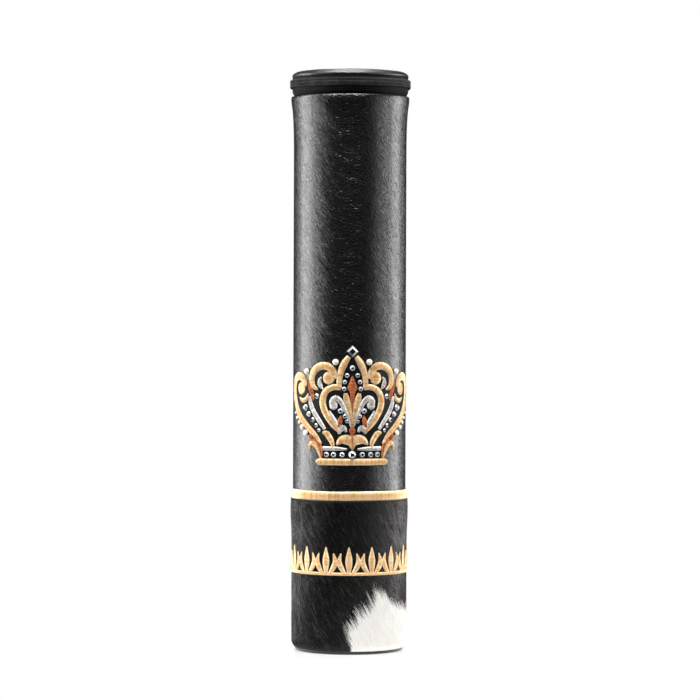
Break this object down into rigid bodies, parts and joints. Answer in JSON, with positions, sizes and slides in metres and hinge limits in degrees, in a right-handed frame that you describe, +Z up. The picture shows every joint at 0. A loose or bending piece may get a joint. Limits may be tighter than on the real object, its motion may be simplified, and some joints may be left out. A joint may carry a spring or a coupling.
{
  "type": "megillah case",
  "caption": "Upright round case for a scroll, in black leather and hair-on hide, with an embroidered crown and a hinged zip-round lid.",
  "frame": {"origin": "middle of the base, on the surface that the case stands on", "axes": "+Z up along the case's axis, the front with the crown faces -Y, the lid's hinge is at +Y"},
  "size_m": [0.087, 0.0863, 0.417],
  "materials": {
    "black_leather": "semi-gloss black leather with a fine crease grain",
    "cowhide": "hair-on cowhide, black with a white patch",
    "gold_thread": "gold satin-stitch embroidery, raised",
    "silver_thread": "silver satin-stitch embroidery, raised",
    "copper_thread": "copper satin-stitch embroidery, raised",
    "black_thread": "black embroidery ground, matt",
    "rhinestone": "clear faceted stone with a foiled back",
    "pearl": "ivory pearl bead, glossy",
    "zip_tape": "woven black zip tape, matt",
    "zip_coil": "black nylon coil, satin",
    "zip_metal": "dark plated zinc alloy, polished",
    "lining_cloth": "black brushed lining cloth, matt",
    "board": "rolled grey-brown board, matt",
    "foam": "soft foam padding, matt"
  },
  "bodies": {
    "case": {"base_cover": "black_leather", "base_board": "board", "base_pad": "lining_cloth", "core_tube": "board", "body_lining": "lining_cloth", "leather_sleeve": "black_leather", "hide_sleeve": "cowhide", "gold_band": "gold_thread", "body_zip_tape": "zip_tape", "body_zip_coil": "zip_coil", "hinge_tab": "black_leather", "crown_outer_scroll_left": "gold_thread", "crown_inner_scroll_left": "gold_thread", "crown_arch_left": "gold_thread", "crown_crescent_left": "gold_thread", "crown_hook_left": "gold_thread", "crown_small_leaf_left": "gold_thread", "crown_silver_scroll_left": "silver_thread", "crown_silver_ribbon_left": "silver_thread", "crown_silver_strip_left": "silver_thread", "crown_copper_spike_left": "copper_thread", "crown_lower_leaf_left": "copper_thread", "crown_pearl_left_1": "pearl", "crown_pearl_left_2": "pearl", "crown_outer_scroll_right": "gold_thread", "crown_inner_scroll_right": "gold_thread", "crown_arch_right": "gold_thread", "crown_crescent_right": "gold_thread", "crown_hook_right": "gold_thread", "crown_small_leaf_right": "gold_thread", "crown_silver_scroll_right": "silver_thread", "crown_silver_ribbon_right": "silver_thread", "crown_silver_strip_right": "silver_thread", "crown_copper_spike_right": "copper_thread", "crown_lower_leaf_right": "copper_thread", "crown_pearl_right_1": "pearl", "crown_pearl_right_2": "pearl", "crown_leaf_pair": "gold_thread", "crown_lotus": "gold_thread", "crown_base_bar": "gold_thread", "crown_copper_flame": "copper_thread", "crown_bud": "copper_thread", "crown_jewel_band": "black_thread", "crown_top_stone": "rhinestone", "crown_band_stone_1": "rhinestone", "crown_band_stone_2": "rhinestone", "crown_band_stone_3": "rhinestone", "crown_band_stone_4": "rhinestone", "crown_band_stone_5": "rhinestone", "crown_band_stone_6": "rhinestone", "crown_band_stone_7": "rhinestone", "frieze": "gold_thread"},
    "lid": {"lid_cover": "black_leather", "lid_board": "board", "lid_foam": "foam", "lid_lining": "lining_cloth", "lid_zip_tape": "zip_tape", "lid_zip_coil": "zip_coil"},
    "slider": {"slider_body": "zip_metal"},
    "pull": {"pull_tab": "zip_metal"}
  },
  "joints": [
    {"name": "lid_hinge", "type": "hinge", "parent": "case", "child": "lid", "pos_m": [0, 0.043, 0.4056], "axis": [-1, 0, 0], "range_deg": [0, 120], "deforming": ["hinge_tab"]},
    {"name": "slider_travel", "type": "hinge", "parent": "case", "child": "slider", "pos_m": [0, 0, 0.4056], "axis": [0, 0, -1], "range_deg": [0, 266], "deforming": ["body_zip_coil", "lid_zip_coil"]},
    {"name": "pull_swing", "type": "hinge", "parent": "slider", "child": "pull", "pos_m": [0.03361, 0.03134, 0.4056], "axis": [0, 0, 1], "range_deg": [0, 160]}
  ]
}
